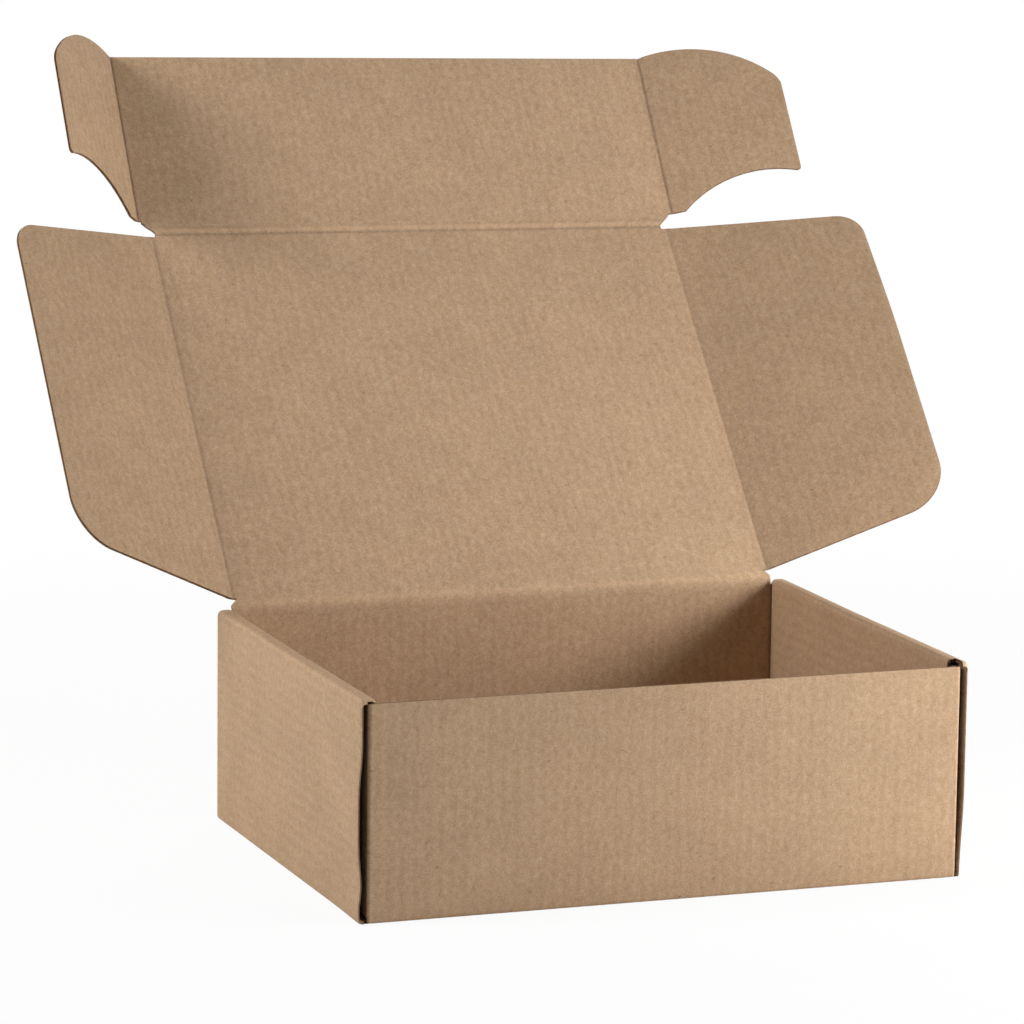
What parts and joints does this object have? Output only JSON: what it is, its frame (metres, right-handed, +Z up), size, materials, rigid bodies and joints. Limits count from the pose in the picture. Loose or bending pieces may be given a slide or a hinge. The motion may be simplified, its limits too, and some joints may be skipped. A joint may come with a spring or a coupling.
{
  "type": "corrugated mailer box",
  "caption": "Open corrugated kraft mailer box: a tray with rolled side walls and a hinged lid that has side flaps, a front flap and ears that slip into slits at the tray's front corners.",
  "frame": {"origin": "centre of the tray's underside", "axes": "+Z up, +X along the box's width, -Y towards the front wall; the lid hinges on the back wall at +Y"},
  "size_m": [0.4891, 0.4543, 0.3932],
  "materials": {
    "kraft_outside": "uncoated kraft paper",
    "kraft_inside": "uncoated kraft paper"
  },
  "bodies": {
    "tray": {"tray": "kraft_outside"},
    "lid": {"lid": "kraft_inside"},
    "side_flap_left": {"side_flap_left": "kraft_inside"},
    "side_flap_right": {"side_flap_right": "kraft_inside"},
    "front_flap": {"front_flap": "kraft_inside"},
    "ear_left": {"ear_left": "kraft_inside"},
    "ear_right": {"ear_right": "kraft_inside"}
  },
  "joints": [
    {"name": "lid_hinge", "type": "hinge", "parent": "tray", "child": "lid", "pos_m": [0, 0.1171, 0.1121], "axis": [1, 0, 0], "range_deg": [-48, 92]},
    {"name": "side_flap_left_crease", "type": "hinge", "parent": "lid", "child": "side_flap_left", "pos_m": [-0.151, 0.1171, 0.1121], "axis": [0, 0.6691, 0.7431], "range_deg": [-31, 59]},
    {"name": "side_flap_right_crease", "type": "hinge", "parent": "lid", "child": "side_flap_right", "pos_m": [0.151, 0.1171, 0.1121], "axis": [0, -0.6691, -0.7431], "range_deg": [-28, 62]},
    {"name": "front_flap_crease", "type": "hinge", "parent": "lid", "child": "front_flap", "pos_m": [0, 0.27515, 0.28763], "axis": [1, 0, 0], "range_deg": [-8, 60]},
    {"name": "ear_left_crease", "type": "hinge", "parent": "front_flap", "child": "ear_left", "pos_m": [-0.1571, 0.27515, 0.28763], "axis": [0, 0.5592, 0.829], "range_deg": [-51, 39]},
    {"name": "ear_right_crease", "type": "hinge", "parent": "front_flap", "child": "ear_right", "pos_m": [0.1571, 0.27515, 0.28763], "axis": [0, -0.5592, -0.829], "range_deg": [-24, 66]}
  ]
}
